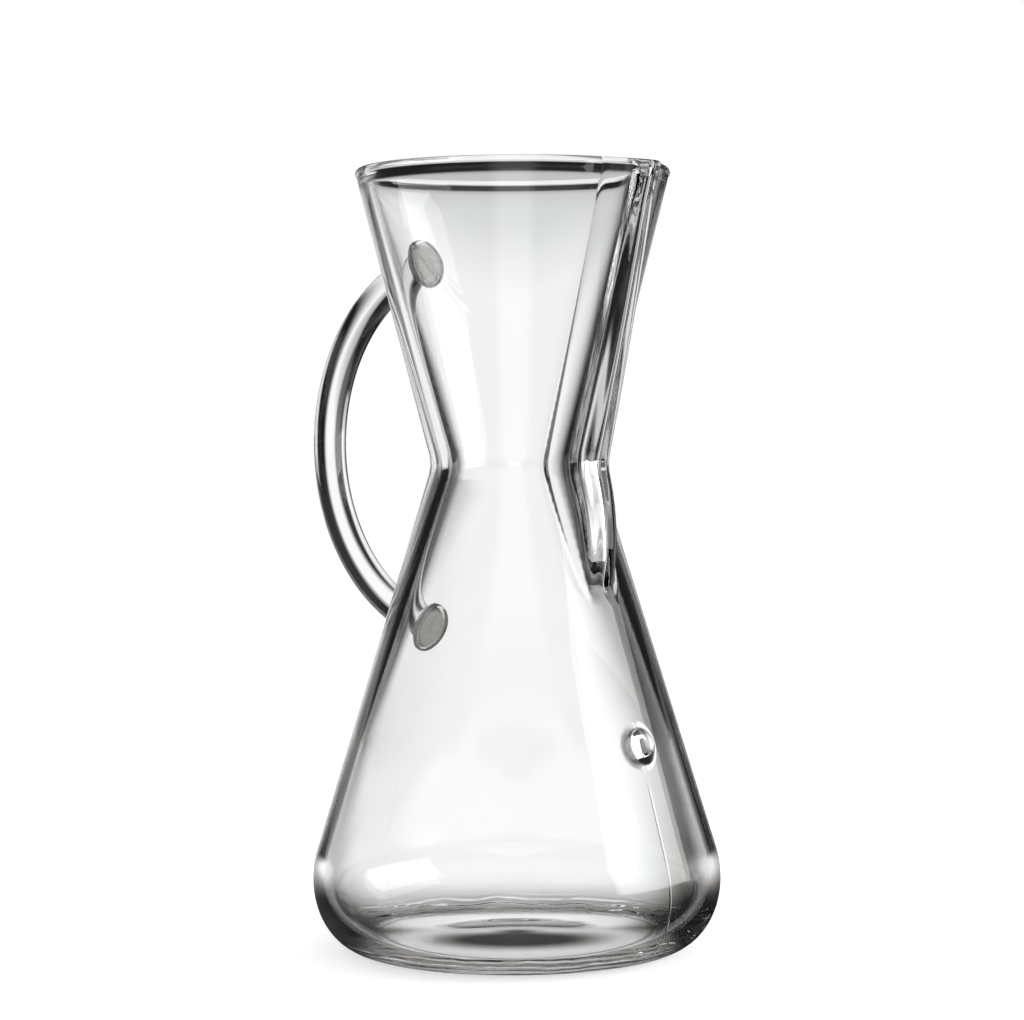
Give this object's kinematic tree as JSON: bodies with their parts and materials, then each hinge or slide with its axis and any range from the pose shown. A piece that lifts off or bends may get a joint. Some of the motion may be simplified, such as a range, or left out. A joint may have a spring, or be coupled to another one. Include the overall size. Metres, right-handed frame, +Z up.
{
  "type": "pour-over coffee maker",
  "caption": "Hourglass glass vessel with a filter funnel above a round flask, a pressed pouring channel, a bent glass rod handle and a small level button.",
  "frame": {"origin": "on the plane that the foot stands on, at the middle of the whole object's footprint box; the vessel's own axis is 11.25 mm further along +X", "axes": "+Z up along the vessel's axis, +X towards the pouring channel, -X towards the handle"},
  "size_m": [0.1294, 0.107, 0.2045],
  "materials": {
    "vessel_glass": "clear, polished, faintly streaked",
    "rod_glass": "clear, polished solid rod",
    "weld_glass": "fused, cloudy in the middle",
    "button_glass": "clear, polished dome"
  },
  "bodies": {
    "root": {"glass_vessel": "vessel_glass", "handle": "rod_glass", "upper_handle_weld": "weld_glass", "lower_handle_weld": "weld_glass", "level_button": "button_glass"}
  },
  "joints": []
}
